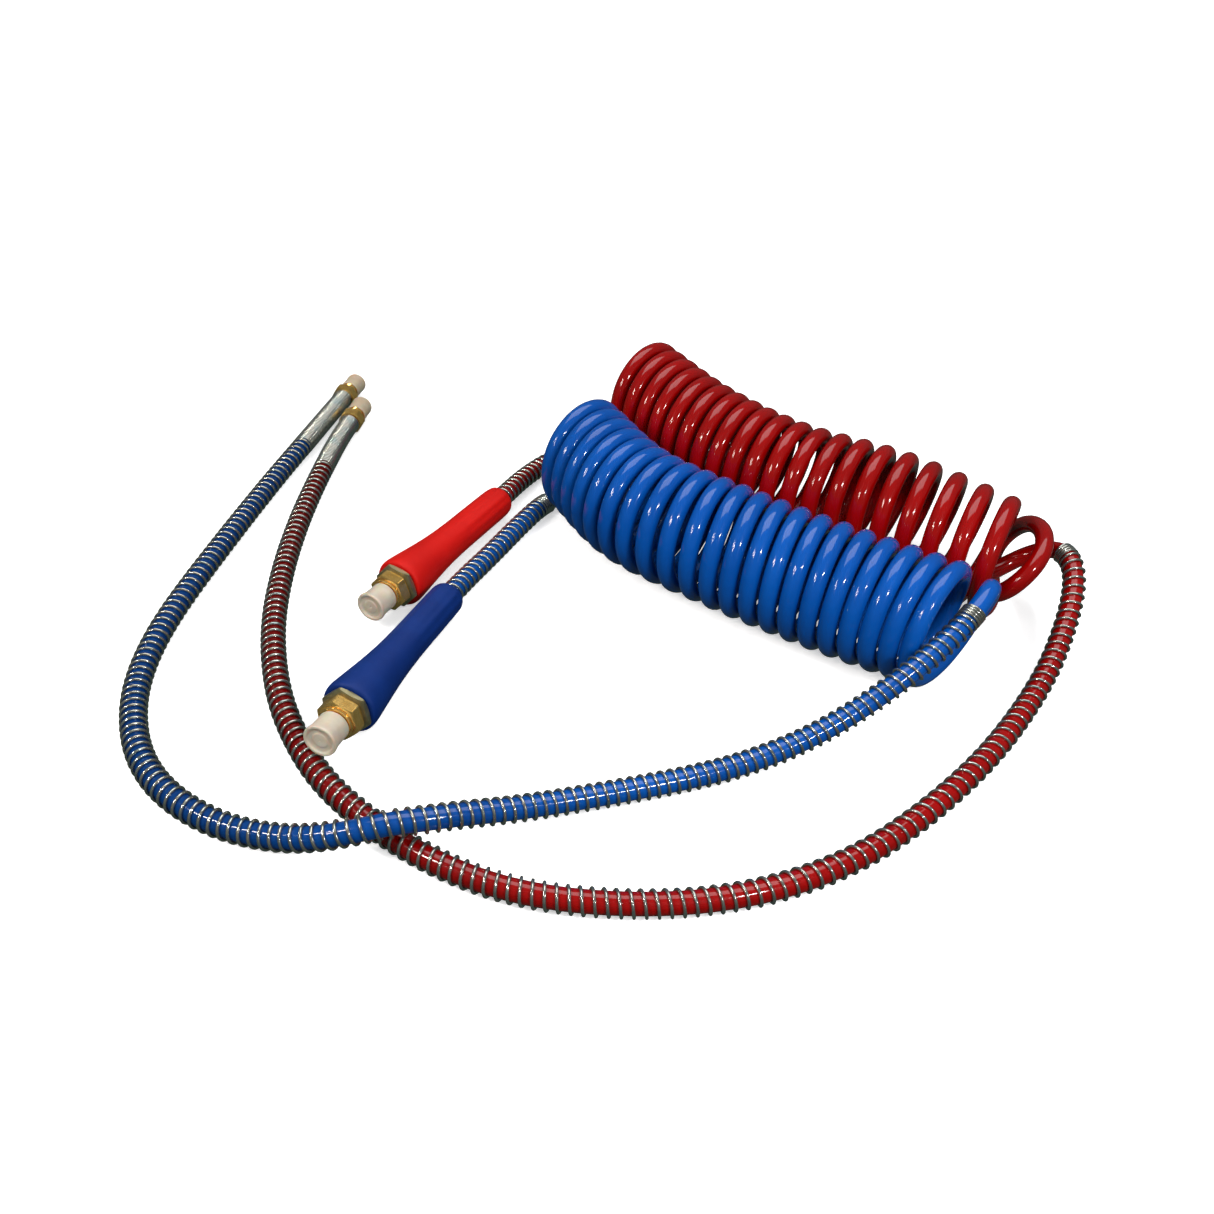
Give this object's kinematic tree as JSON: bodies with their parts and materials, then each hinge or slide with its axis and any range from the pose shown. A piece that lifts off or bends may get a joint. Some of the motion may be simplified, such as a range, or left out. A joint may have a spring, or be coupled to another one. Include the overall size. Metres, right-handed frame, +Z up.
{
  "type": "coiled air hose set",
  "caption": "Two coiled nylon air hoses with wire spring guards, rubber grips, swivelling brass threaded fittings and push-on thread caps, laid out side by side.",
  "frame": {"origin": "bottom centre of the whole layout as it lies on the floor", "axes": "+Z up from the floor; +X to the side where both coils' long leads come out; +Y towards the rigid far fittings"},
  "size_m": [0.7433, 0.6444, 0.1062],
  "materials": {
    "nylon_red": "glossy extruded nylon",
    "nylon_blue": "glossy extruded nylon",
    "rubber_red": "smooth matte moulded rubber",
    "rubber_blue": "smooth matte moulded rubber",
    "zinc_wire": "zinc plated spring wire",
    "brass": "machined brass",
    "dark_brass": "dull olive plated brass",
    "cap_plastic": "translucent natural polyethylene",
    "seal_rubber": "black O-ring rubber"
  },
  "bodies": {
    "hoses": {"blue_coil": "nylon_blue", "blue_crimp_sleeve": "brass", "blue_end_fitting": "brass", "blue_grip": "rubber_blue", "blue_grip_fitting": "dark_brass", "blue_grip_ring": "brass", "blue_lead_spring": "zinc_wire", "blue_lead_tube": "nylon_blue", "blue_seal_ring": "seal_rubber", "blue_short_spring": "zinc_wire", "blue_short_tube": "nylon_blue", "red_coil": "nylon_red", "red_crimp_sleeve": "brass", "red_end_fitting": "brass", "red_grip": "rubber_red", "red_grip_fitting": "dark_brass", "red_grip_ring": "brass", "red_lead_spring": "zinc_wire", "red_lead_tube": "nylon_red", "red_seal_ring": "seal_rubber", "red_short_spring": "zinc_wire", "red_short_tube": "nylon_red"},
    "red_swivel": {"red_swivel": "brass"},
    "red_grip_cap": {"red_grip_cap": "cap_plastic"},
    "red_end_cap": {"red_end_cap": "cap_plastic"},
    "blue_swivel": {"blue_swivel": "brass"},
    "blue_grip_cap": {"blue_grip_cap": "cap_plastic"},
    "blue_end_cap": {"blue_end_cap": "cap_plastic"}
  },
  "joints": [
    {"name": "red_swivel_turn", "type": "hinge", "parent": "hoses", "child": "red_swivel", "pos_m": [-0.19948, -0.04249, 0.02146], "axis": [-0.3847, -0.9222, 0.0401], "continuous": true},
    {"name": "red_grip_cap_pull", "type": "slide", "parent": "red_swivel", "child": "red_grip_cap", "axis": [-0.3847, -0.9222, 0.0401], "range_m": [0, 0.018]},
    {"name": "red_end_cap_pull", "type": "slide", "parent": "hoses", "child": "red_end_cap", "axis": [0.0859, 0.9963, 0], "range_m": [0, 0.019]},
    {"name": "blue_swivel_turn", "type": "hinge", "parent": "hoses", "child": "blue_swivel", "pos_m": [-0.19881, -0.19839, 0.03099], "axis": [-0.2609, -0.9608, 0.0941], "continuous": true},
    {"name": "blue_grip_cap_pull", "type": "slide", "parent": "blue_swivel", "child": "blue_grip_cap", "axis": [-0.2609, -0.9608, 0.0941], "range_m": [0, 0.018]},
    {"name": "blue_end_cap_pull", "type": "slide", "parent": "hoses", "child": "blue_end_cap", "axis": [0.1366, 0.9906, 0], "range_m": [0, 0.019]}
  ]
}
